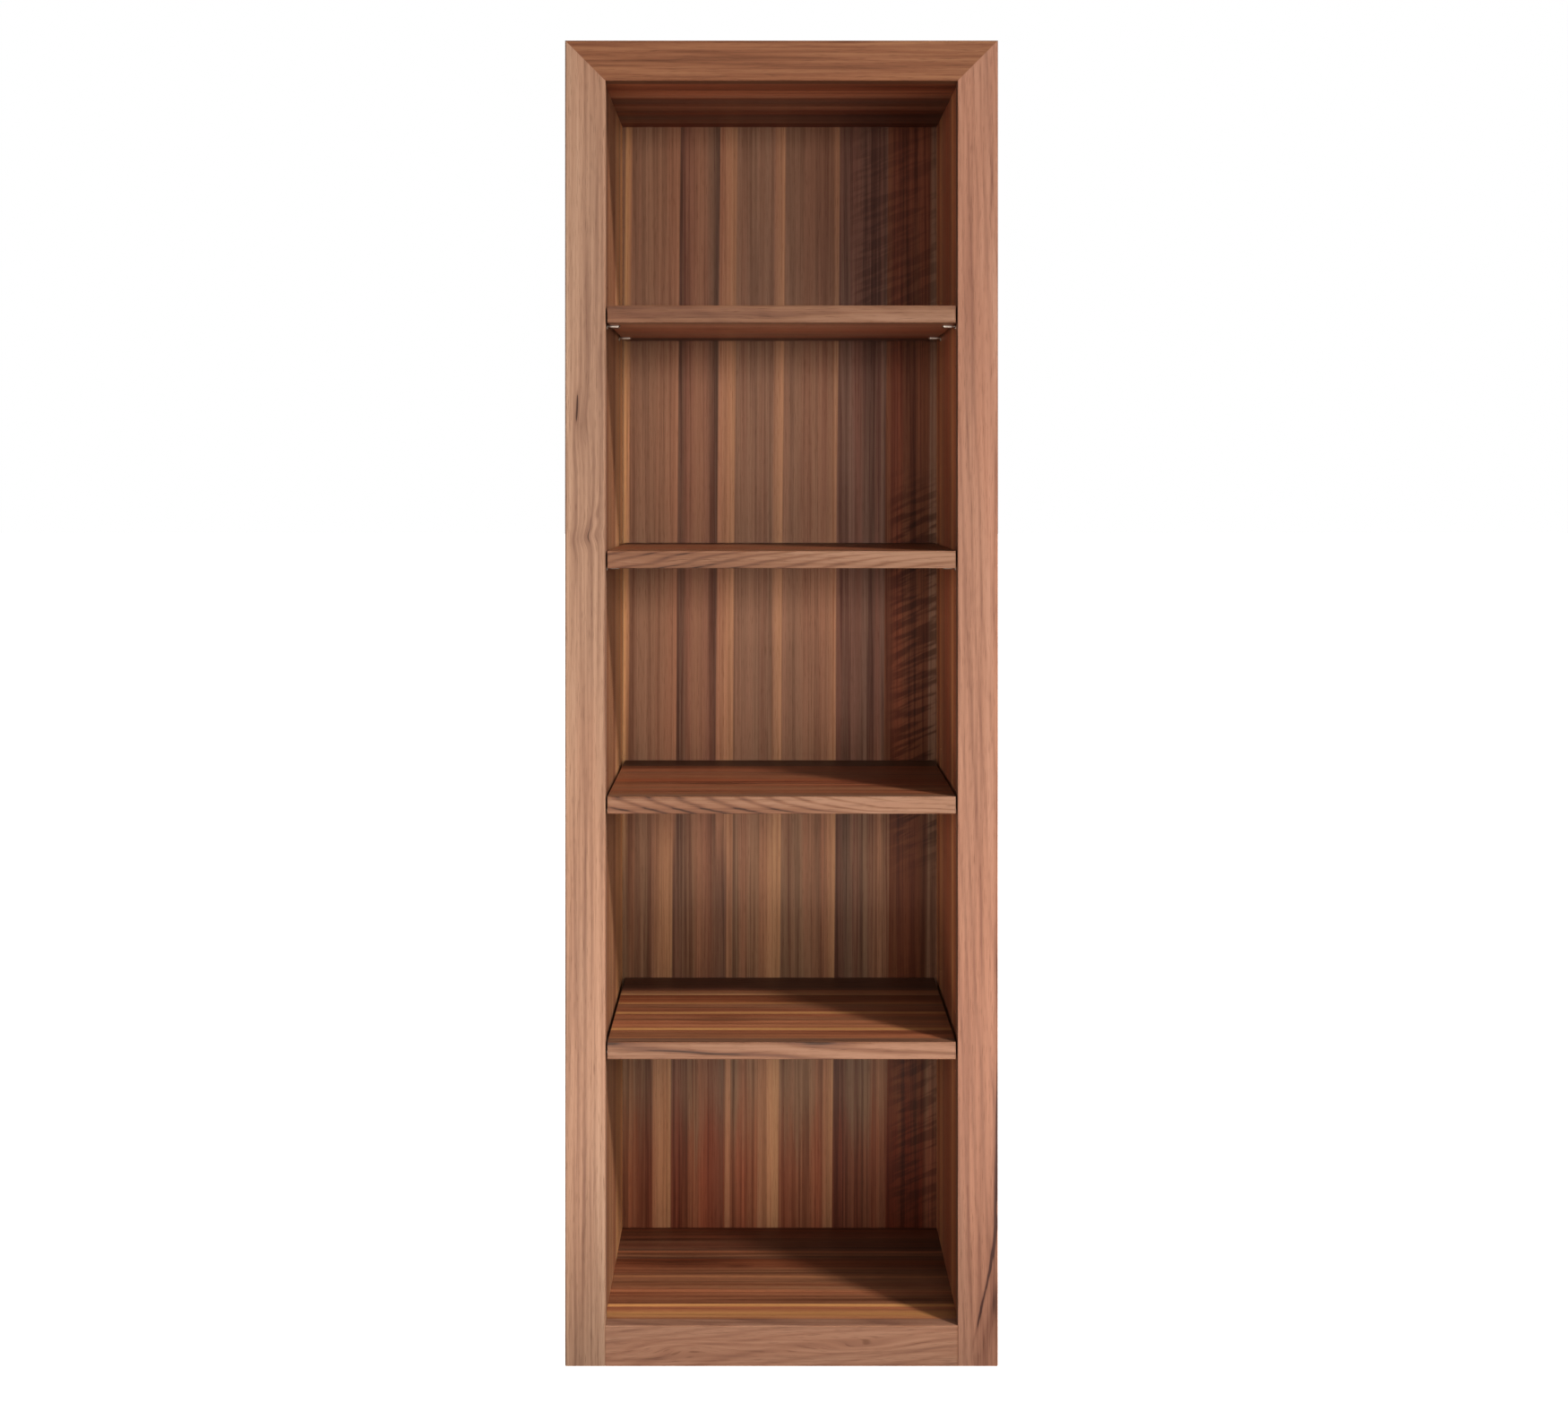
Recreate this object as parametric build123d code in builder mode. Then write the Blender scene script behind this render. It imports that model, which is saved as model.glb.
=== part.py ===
from build123d import *
import os

# Bookcase with four adjustable shelves, in millimetres.
# X runs across the front, Y from the front (-Y) to the back (+Y), and Z up.
# The origin is on the floor, at the centre of the plan.

# Overall size
case_width = 697
case_depth = 356
case_height = 2134

# Face frame: stiles and top rail mitred at 45 degrees, bottom rail between the stiles
frame_width = 65
frame_thickness = 22
bottom_rail_height = 65
stile_overlap = 2.5         # past the inner faces of the sides
outer_easing = 2.5
inner_easing = 1

# Built-up sides and top: two veneered panels glued over core battens
panel_thickness = 18
batten_width = 40
side_cross_battens = 3
top_cross_battens = 2

# Base under the deck
bearer_count = 2

# Back panel, let in between the outer side panels
back_thickness = 8
back_recess = 8
back_floor_gap = 10

# Shelves, numbered from the top
shelf_count = 4
shelf_thickness = 28
shelf_edge_depth = 18
shelf_side_gap = 3
shelf_rear_gap = 3
shelf_setback = 2
shelf_easing = 1
top_bay_height = 361.5
bottom_bay_height = 456

# Shelf pins and the columns of holes that they plug into
pin_hole_radius = 2.5
pin_hole_depth = 11
pin_fit_clearance = 0.05
pin_shank_length = 10
pin_drop = 2.6
collar_radius = 4
collar_thickness = 1.5
spoon_radius = 4.5
spoon_reach = 22.5
hole_pitch = 32
holes_each_way = 2
front_pin_setback = 50
rear_pin_inset = 70

# Loose tongues, mitre splines and dowels
tongue_thickness = 5
tongue_in_frame = 10
tongue_in_panel = 12
tongue_end_gap = 100
spline_thickness = 5
spline_length = 60
spline_width = 24
dowel_radius = 4
dowel_in_side = 12
dowel_in_panel = 24
dowel_end_inset = 40
rail_dowel_depth = 20
rail_dowel_inset = 18

# Screws
screw_shank_radius = 1.75
screw_head_radius = 3.5
screw_length = 28
screw_end_inset = 60
side_screw_count = 7
cross_screw_count = 4
bracket_screw_length = 25

# Saddle bracket for an anti-tip strap
bracket_thickness = 1.5
bracket_height = 14
bracket_span = 24
bracket_flange = 20
bracket_rise = 6
bracket_slope = 4

# Faces that the pieces share
half_width = case_width / 2
front_y = -case_depth / 2
rear_y = case_depth / 2
frame_back_y = front_y + frame_thickness
back_face_y = rear_y - back_recess - back_thickness
back_rear_y = back_face_y + back_thickness
inner_depth = back_face_y - frame_back_y
inner_mid_y = (back_face_y + frame_back_y) / 2
stile_inner_x = half_width - frame_width
wall_x = stile_inner_x + stile_overlap
soffit_z = case_height - frame_width
deck_z = bottom_rail_height
core_outer_x = half_width - panel_thickness
core_inner_x = wall_x + panel_thickness
core_mid_x = (core_outer_x + core_inner_x) / 2
side_core_thickness = core_outer_x - core_inner_x
top_core_bottom_z = soffit_z + panel_thickness
top_core_thickness = frame_width - 2 * panel_thickness
deck_underside_z = deck_z - panel_thickness

# Centre lines of the panel edges that tongues, dowels and screws enter
inner_side_x = wall_x + panel_thickness / 2
outer_side_x = half_width - panel_thickness / 2
soffit_mid_z = soffit_z + panel_thickness / 2
deck_mid_z = deck_z - panel_thickness / 2
panel_levels = (soffit_mid_z, deck_mid_z)

# Shelf levels, from the top shelf down
highest_shelf_z = soffit_z - top_bay_height
lowest_shelf_z = deck_z + bottom_bay_height
shelf_spacing = (highest_shelf_z - lowest_shelf_z) / (shelf_count - 1)
shelf_tops = [highest_shelf_z - shelf_spacing * step for step in range(shelf_count)]
shelf_half_length = stile_inner_x - shelf_side_gap
shelf_front_y = front_y + shelf_setback
shelf_joint_y = shelf_front_y + shelf_edge_depth
shelf_rear_y = back_face_y - shelf_rear_gap

# Pin columns, and hole heights with the pins in the middle hole of each group
pin_columns = {"front": front_y + front_pin_setback, "rear": back_face_y - rear_pin_inset}
pin_heights = [top - shelf_thickness - pin_drop for top in shelf_tops]
hole_steps = range(-holes_each_way, holes_each_way + 1)
hole_heights = [height + step * hole_pitch for height in pin_heights for step in hole_steps]
hole_places = [(y, z) for y in pin_columns.values() for z in hole_heights]

SIDES = {"left": -1, "right": 1}


def spread(start, end, count):
    """Evenly spaced values from start to end, both included."""
    return [start + (end - start) * step / (count - 1) for step in range(count)]


def between(start, end, count):
    """Evenly spaced values inside a span, neither end included."""
    return [start + (end - start) * step / (count + 1) for step in range(1, count + 1)]


def mitre_plane(sign):
    """The 45 degree plane through an upper outer corner; its lower side holds the upright."""
    return Plane(origin=(sign * half_width, 0, case_height), z_dir=(-sign, 0, 1))


def mitre_centre(sign):
    """The middle of a frame mitre, with X along the joint line and Z to the front."""
    middle = (sign * (half_width - frame_width / 2), (front_y + frame_back_y) / 2)
    return Plane(origin=(*middle, case_height - frame_width / 2), x_dir=(sign, 0, 1), z_dir=(0, -1, 0))


def y_plane(y):
    """An upright plane at a depth y, with local x across, local y up and its normal to the front."""
    return Plane.XZ.offset(-y)


def save(piece, name):
    """Label a finished piece and write its STEP file."""
    piece.part.label = name
    export_step(piece.part, f"parts/{name}.step")


os.makedirs("parts", exist_ok=True)

dowel_ys = spread(frame_back_y + dowel_end_inset, back_face_y - dowel_end_inset, 3)
dowel_places = [(y, z) for y in dowel_ys for z in panel_levels]
rail_dowel_zs = (rail_dowel_inset, bottom_rail_height - rail_dowel_inset)
rail_dowel_places = [((front_y + frame_back_y) / 2, z) for z in rail_dowel_zs]
side_screw_zs = spread(back_floor_gap + screw_end_inset, soffit_z - screw_end_inset, side_screw_count)
cross_screw_xs = spread(screw_end_inset - wall_x, wall_x - screw_end_inset, cross_screw_count)
stile_tongue_length = soffit_z - 2 * tongue_end_gap
rail_tongue_length = 2 * (wall_x - tongue_end_gap)
bracket_screw_x = bracket_span / 2 + bracket_slope + bracket_flange / 2
bracket_screw_places = [(-bracket_screw_x, soffit_mid_z), (bracket_screw_x, soffit_mid_z)]
side_screw_places = [(sign * inner_side_x, z) for sign in SIDES.values() for z in side_screw_zs]
cross_screw_places = [(x, z) for x in cross_screw_xs for z in panel_levels]


# ---- Face frame ----

for side, sign in SIDES.items():
    with BuildPart() as stile:
        with BuildSketch(Plane.XY):
            with Locations((sign * (half_width - frame_width / 2), front_y + frame_thickness / 2)):
                Rectangle(frame_width, frame_thickness)
        extrude(amount=case_height)
        front_edges = stile.edges().filter_by(Axis.Z).group_by(Axis.Y)[0].sort_by(Axis.X)
        inner_edge, outer_edge = front_edges[::sign]
        fillet(outer_edge, radius=outer_easing)
        fillet(inner_edge, radius=inner_easing)
        split(bisect_by=mitre_plane(sign), keep=Keep.BOTTOM)
        with BuildSketch(y_plane(frame_back_y)):
            for tongue_x in (inner_side_x, outer_side_x):
                with Locations((sign * tongue_x, soffit_z / 2)):
                    Rectangle(tongue_thickness, stile_tongue_length)
        extrude(amount=tongue_in_frame, mode=Mode.SUBTRACT)
        with BuildSketch(Plane.YZ.offset(sign * stile_inner_x)):
            with Locations(*rail_dowel_places):
                Circle(dowel_radius)
        extrude(amount=sign * rail_dowel_depth, mode=Mode.SUBTRACT)
        with BuildSketch(mitre_centre(sign)):
            Rectangle(spline_length, spline_width)
        extrude(amount=spline_thickness / 2, both=True, mode=Mode.SUBTRACT)
    save(stile, f"{side}_stile")

with BuildPart() as top_rail:
    with BuildSketch(Plane.YZ.offset(-half_width)):
        with Locations((front_y + frame_thickness / 2, case_height - frame_width / 2)):
            Rectangle(frame_thickness, frame_width)
    extrude(amount=case_width)
    lower_edge, upper_edge = top_rail.edges().filter_by(Axis.X).group_by(Axis.Y)[0].sort_by(Axis.Z)
    fillet(upper_edge, radius=outer_easing)
    fillet(lower_edge, radius=inner_easing)
    for sign in SIDES.values():
        split(bisect_by=mitre_plane(sign), keep=Keep.TOP)
    with BuildSketch(y_plane(frame_back_y)):
        with Locations((0, soffit_mid_z)):
            Rectangle(rail_tongue_length, tongue_thickness)
    extrude(amount=tongue_in_frame, mode=Mode.SUBTRACT)
    for sign in SIDES.values():
        with BuildSketch(mitre_centre(sign)):
            Rectangle(spline_length, spline_width)
        extrude(amount=spline_thickness / 2, both=True, mode=Mode.SUBTRACT)
save(top_rail, "top_rail")

with BuildPart() as bottom_rail:
    with BuildSketch(Plane.YZ.offset(-stile_inner_x)):
        with Locations((front_y + frame_thickness / 2, bottom_rail_height / 2)):
            Rectangle(frame_thickness, bottom_rail_height)
    extrude(amount=2 * stile_inner_x)
    upper_edge = bottom_rail.edges().filter_by(Axis.X).group_by(Axis.Y)[0].sort_by(Axis.Z)[-1]
    fillet(upper_edge, radius=inner_easing)
    with BuildSketch(y_plane(frame_back_y)):
        with Locations((0, deck_mid_z)):
            Rectangle(rail_tongue_length, tongue_thickness)
    extrude(amount=tongue_in_frame, mode=Mode.SUBTRACT)
    for sign in SIDES.values():
        with BuildSketch(Plane.YZ.offset(sign * stile_inner_x)):
            with Locations(*rail_dowel_places):
                Circle(dowel_radius)
        extrude(amount=-sign * rail_dowel_depth, mode=Mode.SUBTRACT)
save(bottom_rail, "bottom_rail")


# ---- Side walls, each an outer and an inner panel over a ladder of battens ----

for side, sign in SIDES.items():
    with BuildPart() as outer_side:
        with BuildSketch(Plane.XY):
            with Locations((sign * outer_side_x, (frame_back_y + rear_y) / 2)):
                Rectangle(panel_thickness, rear_y - frame_back_y)
        extrude(amount=case_height)
        split(bisect_by=mitre_plane(sign), keep=Keep.BOTTOM)
        with BuildSketch(y_plane(frame_back_y)):
            with Locations((sign * outer_side_x, soffit_z / 2)):
                Rectangle(tongue_thickness, stile_tongue_length)
        extrude(amount=-tongue_in_panel, mode=Mode.SUBTRACT)
    save(outer_side, f"{side}_outer_side")

    with BuildPart() as inner_side:
        with BuildSketch(Plane.XY):
            with Locations((sign * inner_side_x, inner_mid_y)):
                Rectangle(panel_thickness, inner_depth)
        extrude(amount=top_core_bottom_z)
        with BuildSketch(y_plane(frame_back_y)):
            with Locations((sign * inner_side_x, soffit_z / 2)):
                Rectangle(tongue_thickness, stile_tongue_length)
        extrude(amount=-tongue_in_panel, mode=Mode.SUBTRACT)
        with BuildSketch(Plane.YZ.offset(sign * wall_x)):
            with Locations(*hole_places):
                Circle(pin_hole_radius)
        extrude(amount=sign * pin_hole_depth, mode=Mode.SUBTRACT)
        with BuildSketch(Plane.YZ.offset(sign * wall_x)):
            with Locations(*dowel_places):
                Circle(dowel_radius)
        extrude(amount=sign * dowel_in_side, mode=Mode.SUBTRACT)
        with BuildSketch(y_plane(back_face_y)):
            with Locations(*[(sign * inner_side_x, z) for z in side_screw_zs]):
                Circle(screw_shank_radius)
        extrude(amount=screw_length - back_thickness, mode=Mode.SUBTRACT)
    save(inner_side, f"{side}_inner_side")

    with BuildPart() as side_battens:
        for upright_y in (frame_back_y + batten_width / 2, back_face_y - batten_width / 2):
            with BuildSketch(Plane.XY):
                with Locations((sign * core_mid_x, upright_y)):
                    Rectangle(side_core_thickness, batten_width)
            extrude(amount=top_core_bottom_z)
        for batten_z in between(0, top_core_bottom_z, side_cross_battens):
            with BuildSketch(Plane.XY.offset(batten_z - batten_width / 2)):
                with Locations((sign * core_mid_x, inner_mid_y)):
                    Rectangle(side_core_thickness, inner_depth - 2 * batten_width)
            extrude(amount=batten_width)
    save(side_battens, f"{side}_side_battens")

    with BuildPart() as stile_tongues:
        with BuildSketch(y_plane(frame_back_y - tongue_in_frame)):
            for tongue_x in (inner_side_x, outer_side_x):
                with Locations((sign * tongue_x, soffit_z / 2)):
                    Rectangle(tongue_thickness, stile_tongue_length)
        extrude(amount=-(tongue_in_frame + tongue_in_panel))
    save(stile_tongues, f"{side}_stile_tongues")


# ---- Top, deck, base and back ----

with BuildPart() as outer_top:
    with BuildSketch(Plane.XY.offset(case_height - panel_thickness)):
        with Locations((0, (frame_back_y + rear_y) / 2)):
            Rectangle(case_width, rear_y - frame_back_y)
    extrude(amount=panel_thickness)
    for sign in SIDES.values():
        split(bisect_by=mitre_plane(sign), keep=Keep.TOP)
save(outer_top, "outer_top")

for panel_name, panel_mid_z in zip(("soffit", "deck"), panel_levels):
    rear_screw_places = [(x, panel_mid_z) for x in cross_screw_xs]
    with BuildPart() as cross_panel:
        with BuildSketch(Plane.XY.offset(panel_mid_z - panel_thickness / 2)):
            with Locations((0, inner_mid_y)):
                Rectangle(2 * wall_x, inner_depth)
        extrude(amount=panel_thickness)
        with BuildSketch(y_plane(frame_back_y)):
            with Locations((0, panel_mid_z)):
                Rectangle(rail_tongue_length, tongue_thickness)
        extrude(amount=-tongue_in_panel, mode=Mode.SUBTRACT)
        for sign in SIDES.values():
            with BuildSketch(Plane.YZ.offset(sign * wall_x)):
                with Locations(*[(y, panel_mid_z) for y in dowel_ys]):
                    Circle(dowel_radius)
            extrude(amount=-sign * dowel_in_panel, mode=Mode.SUBTRACT)
        with BuildSketch(y_plane(back_face_y)):
            with Locations(*rear_screw_places):
                Circle(screw_shank_radius)
        extrude(amount=screw_length - back_thickness, mode=Mode.SUBTRACT)
        if panel_name == "soffit":
            with BuildSketch(y_plane(back_face_y)):
                with Locations(*bracket_screw_places):
                    Circle(screw_shank_radius)
            extrude(amount=bracket_screw_length - back_thickness, mode=Mode.SUBTRACT)
    save(cross_panel, panel_name)

for rail_name, panel_mid_z in zip(("top_rail_tongue", "bottom_rail_tongue"), panel_levels):
    with BuildPart() as rail_tongue:
        with BuildSketch(y_plane(frame_back_y - tongue_in_frame)):
            with Locations((0, panel_mid_z)):
                Rectangle(rail_tongue_length, tongue_thickness)
        extrude(amount=-(tongue_in_frame + tongue_in_panel))
    save(rail_tongue, rail_name)

with BuildPart() as top_battens:
    for batten_y in (frame_back_y + batten_width / 2, back_face_y - batten_width / 2):
        with BuildSketch(Plane.XY.offset(top_core_bottom_z)):
            with Locations((0, batten_y)):
                Rectangle(2 * core_outer_x, batten_width)
        extrude(amount=top_core_thickness)
    for batten_x in between(-core_outer_x, core_outer_x, top_cross_battens):
        with BuildSketch(Plane.XY.offset(top_core_bottom_z)):
            with Locations((batten_x, inner_mid_y)):
                Rectangle(batten_width, inner_depth - 2 * batten_width)
        extrude(amount=top_core_thickness)
save(top_battens, "top_battens")

with BuildPart() as base_rear_rail:
    with BuildSketch(Plane.XY):
        with Locations((0, back_face_y - panel_thickness / 2)):
            Rectangle(2 * wall_x, panel_thickness)
    extrude(amount=deck_underside_z)
save(base_rear_rail, "base_rear_rail")

with BuildPart() as base_bearers:
    bearer_depth = inner_depth - panel_thickness
    with BuildSketch(Plane.XY):
        for bearer_x in between(-wall_x, wall_x, bearer_count):
            with Locations((bearer_x, frame_back_y + bearer_depth / 2)):
                Rectangle(panel_thickness, bearer_depth)
    extrude(amount=deck_underside_z)
save(base_bearers, "base_bearers")

back_rear_face = Plane(origin=(0, back_rear_y, 0), x_dir=(-1, 0, 0), z_dir=(0, 1, 0))
back_panel_height = case_height - panel_thickness - back_floor_gap

with BuildPart() as back_panel:
    with BuildSketch(y_plane(back_face_y)):
        with Locations((0, back_floor_gap + back_panel_height / 2)):
            Rectangle(2 * core_outer_x, back_panel_height)
    extrude(amount=-back_thickness)
    with Locations(back_rear_face):
        with Locations(*side_screw_places, *cross_screw_places):
            CounterSinkHole(screw_shank_radius, screw_head_radius, back_thickness, 90)
        with Locations(*bracket_screw_places):
            Hole(screw_shank_radius, back_thickness)
save(back_panel, "back_panel")


# ---- Joint hardware ----

with BuildPart() as mitre_splines:
    for sign in SIDES.values():
        with BuildSketch(mitre_centre(sign)):
            Rectangle(spline_length, spline_width)
        extrude(amount=spline_thickness / 2, both=True)
save(mitre_splines, "mitre_splines")

with BuildPart() as bottom_rail_dowels:
    for sign in SIDES.values():
        with BuildSketch(Plane.YZ.offset(sign * stile_inner_x)):
            with Locations(*rail_dowel_places):
                Circle(dowel_radius)
        extrude(amount=rail_dowel_depth, both=True)
save(bottom_rail_dowels, "bottom_rail_dowels")

with BuildPart() as case_dowels:
    for sign in SIDES.values():
        with BuildSketch(Plane.YZ.offset(sign * (wall_x + dowel_in_side))):
            with Locations(*dowel_places):
                Circle(dowel_radius)
        extrude(amount=-sign * (dowel_in_side + dowel_in_panel))
save(case_dowels, "case_dowels")

# One countersunk screw, its head's face in the XY plane and its point down
head_cone_height = screw_head_radius - screw_shank_radius

with BuildPart() as back_screw:
    with BuildSketch(Plane.XZ):
        with BuildLine():
            Polyline(
                (0, 0),
                (screw_head_radius, 0),
                (screw_shank_radius, -head_cone_height),
                (screw_shank_radius, -screw_length + 2 * screw_shank_radius),
                (0, -screw_length),
                close=True,
            )
        make_face()
    revolve(axis=Axis.Z)

with BuildPart() as back_screws:
    with Locations(back_rear_face):
        with Locations(*side_screw_places, *cross_screw_places):
            add(back_screw.part)
save(back_screws, "back_screws")

# Saddle bracket on the back panel, behind the soffit: two flanges and a raised bridge
bridge_half = bracket_span / 2
foot_half = bridge_half + bracket_slope
tab_half = foot_half + bracket_flange
bracket_bend = bracket_thickness / 2

with BuildPart() as anti_tip_bracket:
    with BuildSketch(Plane.XY.offset(soffit_mid_z - bracket_height / 2)):
        with BuildLine():
            Polyline(
                (-tab_half, back_rear_y),
                (-foot_half, back_rear_y),
                (-bridge_half, back_rear_y + bracket_rise),
                (bridge_half, back_rear_y + bracket_rise),
                (foot_half, back_rear_y),
                (tab_half, back_rear_y),
                (tab_half, back_rear_y + bracket_thickness),
                (foot_half + bracket_bend, back_rear_y + bracket_thickness),
                (bridge_half + bracket_bend, back_rear_y + bracket_rise + bracket_thickness),
                (-bridge_half - bracket_bend, back_rear_y + bracket_rise + bracket_thickness),
                (-foot_half - bracket_bend, back_rear_y + bracket_thickness),
                (-tab_half, back_rear_y + bracket_thickness),
                close=True,
            )
        make_face()
    extrude(amount=bracket_height)
    with BuildSketch(y_plane(back_rear_y)):
        with Locations(*bracket_screw_places):
            Circle(screw_shank_radius)
    extrude(amount=-bracket_thickness, mode=Mode.SUBTRACT)
save(anti_tip_bracket, "anti_tip_bracket")

# Pan-head screws through the bracket's flanges into the soffit's rear edge
pan_head_height = 2
bracket_screw_face = back_rear_face.offset(bracket_thickness)

with BuildPart() as bracket_screws:
    with BuildSketch(bracket_screw_face):
        with Locations(*bracket_screw_places):
            Circle(screw_head_radius)
    extrude(amount=pan_head_height)
    with BuildSketch(bracket_screw_face):
        with Locations(*bracket_screw_places):
            Circle(screw_shank_radius)
    extrude(amount=-(bracket_screw_length + bracket_thickness))
save(bracket_screws, "bracket_screws")


# ---- Shelves and their pins ----

for number, shelf_top in enumerate(shelf_tops, start=1):
    shelf_underside = shelf_top - shelf_thickness

    with BuildPart() as shelf_panel:
        with BuildSketch(Plane.XY.offset(shelf_underside)):
            with Locations((0, (shelf_joint_y + shelf_rear_y) / 2)):
                Rectangle(2 * shelf_half_length, shelf_rear_y - shelf_joint_y)
        extrude(amount=shelf_thickness)
    save(shelf_panel, f"shelf_{number}_panel")

    with BuildPart() as shelf_edge:
        with BuildSketch(Plane.XY.offset(shelf_underside)):
            with Locations((0, shelf_front_y + shelf_edge_depth / 2)):
                Rectangle(2 * shelf_half_length, shelf_edge_depth)
        extrude(amount=shelf_thickness)
        fillet(shelf_edge.edges().filter_by(Axis.X).group_by(Axis.Y)[0], radius=shelf_easing)
    save(shelf_edge, f"shelf_{number}_edge")

    for column, pin_y in pin_columns.items():
        for side, sign in SIDES.items():
            # At the wall on the hole's axis, its normal into the bay and local y up
            pin_z = shelf_underside - pin_drop
            mouth = Plane(origin=(sign * wall_x, pin_y, pin_z), x_dir=(0, -sign, 0), z_dir=(-sign, 0, 0))
            with BuildPart() as pin:
                with BuildSketch(mouth):
                    with Locations((0, pin_drop)):
                        Circle(spoon_radius)
                extrude(amount=spoon_reach - spoon_radius)
                with Locations((sign * (wall_x - spoon_reach + spoon_radius), pin_y, shelf_underside)):
                    Sphere(spoon_radius)
                with BuildSketch(mouth):
                    Circle(collar_radius)
                extrude(amount=collar_thickness)
                split(bisect_by=Plane.XY.offset(shelf_underside), keep=Keep.BOTTOM)
                with BuildSketch(mouth):
                    Circle(pin_hole_radius - pin_fit_clearance)
                extrude(amount=-pin_shank_length)
            save(pin, f"shelf_{number}_pin_{column}_{side}")
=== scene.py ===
import math

import bpy
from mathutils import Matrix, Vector


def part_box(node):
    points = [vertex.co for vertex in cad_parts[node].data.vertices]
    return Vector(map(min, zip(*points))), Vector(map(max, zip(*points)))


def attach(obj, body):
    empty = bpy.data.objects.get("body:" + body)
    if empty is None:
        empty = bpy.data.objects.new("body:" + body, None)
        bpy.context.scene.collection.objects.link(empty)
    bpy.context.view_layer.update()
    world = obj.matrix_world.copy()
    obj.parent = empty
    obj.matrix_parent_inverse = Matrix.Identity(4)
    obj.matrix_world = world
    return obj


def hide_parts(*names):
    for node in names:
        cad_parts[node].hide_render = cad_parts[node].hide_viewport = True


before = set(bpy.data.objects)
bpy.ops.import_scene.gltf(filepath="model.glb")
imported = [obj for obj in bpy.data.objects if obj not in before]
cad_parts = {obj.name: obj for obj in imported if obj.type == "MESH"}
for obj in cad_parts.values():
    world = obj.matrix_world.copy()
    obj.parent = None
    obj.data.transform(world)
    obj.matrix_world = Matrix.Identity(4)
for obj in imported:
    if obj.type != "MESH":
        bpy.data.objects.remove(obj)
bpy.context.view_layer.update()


# ---- Face frame: left stile ----
# The left post of the face frame, 65 x 22 mm solid American walnut, straight-grained with
# one small knot. It is mitred to the top rail, glued to the case side with a loose tongue,
# and finished with a satin oil. The board's wood is cut from rings round a pith line.


class Wire:
    """A value or colour in a material's node tree, so that 1 - pores * 0.5 adds its Math nodes."""

    def __init__(self, tree, socket=None):
        self.tree = tree
        self.socket = socket

    def node(self, kind, settings, sockets, output=0):
        """Adds a node: its settings first, then the values or links of its sockets."""
        made = self.tree.nodes.new(kind)
        for name, value in settings.items():
            if name == "stops":
                ramp = made.color_ramp
                ramp.elements.remove(ramp.elements[1])
                ramp.elements[0].position = value[0][0]
                ramp.elements[0].color = (*value[0][1], 1)
                for place, colour in value[1:]:
                    ramp.elements.new(place).color = (*colour, 1)
            else:
                setattr(made, name, value)
        for key, value in sockets.items():
            if isinstance(value, Wire):
                self.tree.links.new(value.socket, made.inputs[key])
            else:
                made.inputs[key].default_value = value
        return Wire(self.tree, made.outputs[output])

    def out(self, name):
        return Wire(self.tree, self.socket.node.outputs[name])

    def math(self, operation, *terms):
        return self.node("ShaderNodeMath", {"operation": operation}, dict(enumerate(terms)))

    def __add__(self, other):
        return self.math("ADD", self, other)

    __radd__ = __add__

    def __sub__(self, other):
        return self.math("SUBTRACT", self, other)

    def __rsub__(self, other):
        return self.math("SUBTRACT", other, self)

    def __mul__(self, other):
        return self.math("MULTIPLY", self, other)

    __rmul__ = __mul__

    def __truediv__(self, other):
        return self.math("DIVIDE", self, other)

    def __pow__(self, other):
        return self.math("POWER", self, other)

    def rise(self, low, high):
        """0 up to low, 1 from high, smooth between."""
        limits = {"Value": self, "From Min": low, "From Max": high}
        return self.node("ShaderNodeMapRange", {"interpolation_type": "SMOOTHSTEP"}, limits)

    def mix(self, share, other, blend="MIX"):
        """This colour with a share of another blended in."""
        settings = {"data_type": "RGBA", "blend_type": blend}
        return self.node("ShaderNodeMix", settings, {0: share, 6: self, 7: other}, output=2)

    def cloud(self, cycles, shift, detail=2.0):
        """Noise at this place, with so many cycles a metre on each axis."""
        terms = {0: self, 1: cycles, 2: shift}
        place = self.node("ShaderNodeVectorMath", {"operation": "MULTIPLY_ADD"}, terms)
        return place.node("ShaderNodeTexNoise", {}, {"Vector": place, "Scale": 1, "Detail": detail})


def start_wood(name, grain, across):
    """A new material, and the place on the board along, across and through its grain."""
    material = bpy.data.materials.new(name)
    material.use_nodes = True
    place = Wire(material.node_tree).node("ShaderNodeTexCoord", {}, {}, output="Object")
    axes = place.node("ShaderNodeSeparateXYZ", {}, {0: place})
    through = ({"X", "Y", "Z"} - {grain, across}).pop()
    return material, axes.out(grain), axes.out(across), axes.out(through), axes


def edge_closeness(axes, node, reach):
    """1 on the edges of a node's box, falling to 0 at a reach from them."""
    low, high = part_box(node)
    gaps = []
    for axis, near, far in zip("XYZ", low, high):
        off_centre = axes.out(axis) - (near + far) / 2
        gaps.append((far - near) / 2 - off_centre.math("ABSOLUTE", off_centre))
    first, second, third = gaps
    least = first.math("MINIMUM", first, second)
    most = first.math("MAXIMUM", first, second)
    middle = least.math("MAXIMUM", least, most.math("MINIMUM", most, third))
    return 1 - middle.rise(0, reach)


oil_specular = 0.3
oil_pore_dulling = 0.16
oil_line_gloss = 0.05
oil_relief_depth = 0.0003


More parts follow.
